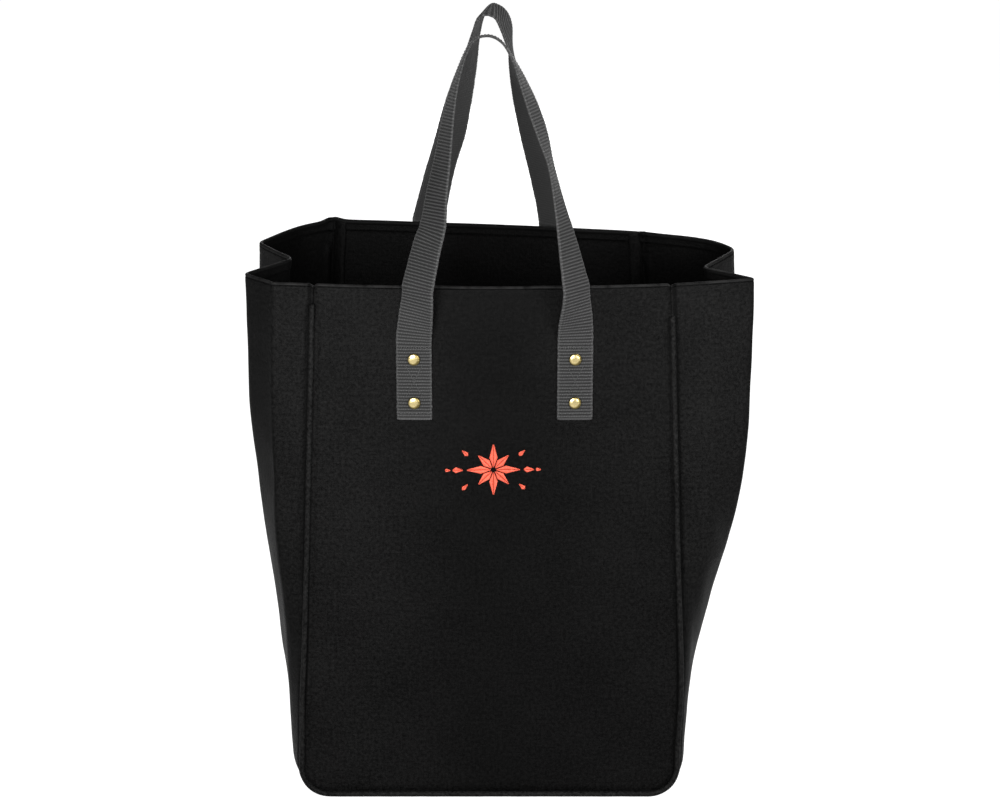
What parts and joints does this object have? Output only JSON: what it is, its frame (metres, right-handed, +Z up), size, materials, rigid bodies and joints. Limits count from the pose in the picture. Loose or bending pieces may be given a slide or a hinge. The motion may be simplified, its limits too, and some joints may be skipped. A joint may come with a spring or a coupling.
{
  "type": "kindling bag",
  "caption": "Open free-standing cloth tote with a folded bellows gusset, piped seams and two twisted webbing handles riveted to its panels.",
  "frame": {"origin": "on the floor, under the middle of the bag's flat base", "axes": "+X to the right seen from the front, +Y from the front panel to the back panel, +Z up through the mouth"},
  "size_m": [0.4247, 0.2582, 0.6714],
  "materials": {
    "cloth": "black coated canvas weave, matt with a faint sheen",
    "piping": "black cloth over cord, matt",
    "webbing": "grey ribbed webbing, matt with lit ribs",
    "brass": "polished pale brass",
    "thread": "coral embroidery thread with a silky sheen"
  },
  "bodies": {
    "root": {"front_panel": "cloth", "back_panel": "cloth", "gusset": "cloth", "front_piping": "piping", "back_piping": "piping", "front_handle": "webbing", "back_handle": "webbing", "front_rivet_1": "brass", "front_rivet_2": "brass", "front_rivet_3": "brass", "front_rivet_4": "brass", "back_rivet_1": "brass", "back_rivet_2": "brass", "back_rivet_3": "brass", "back_rivet_4": "brass"}
  },
  "joints": []
}
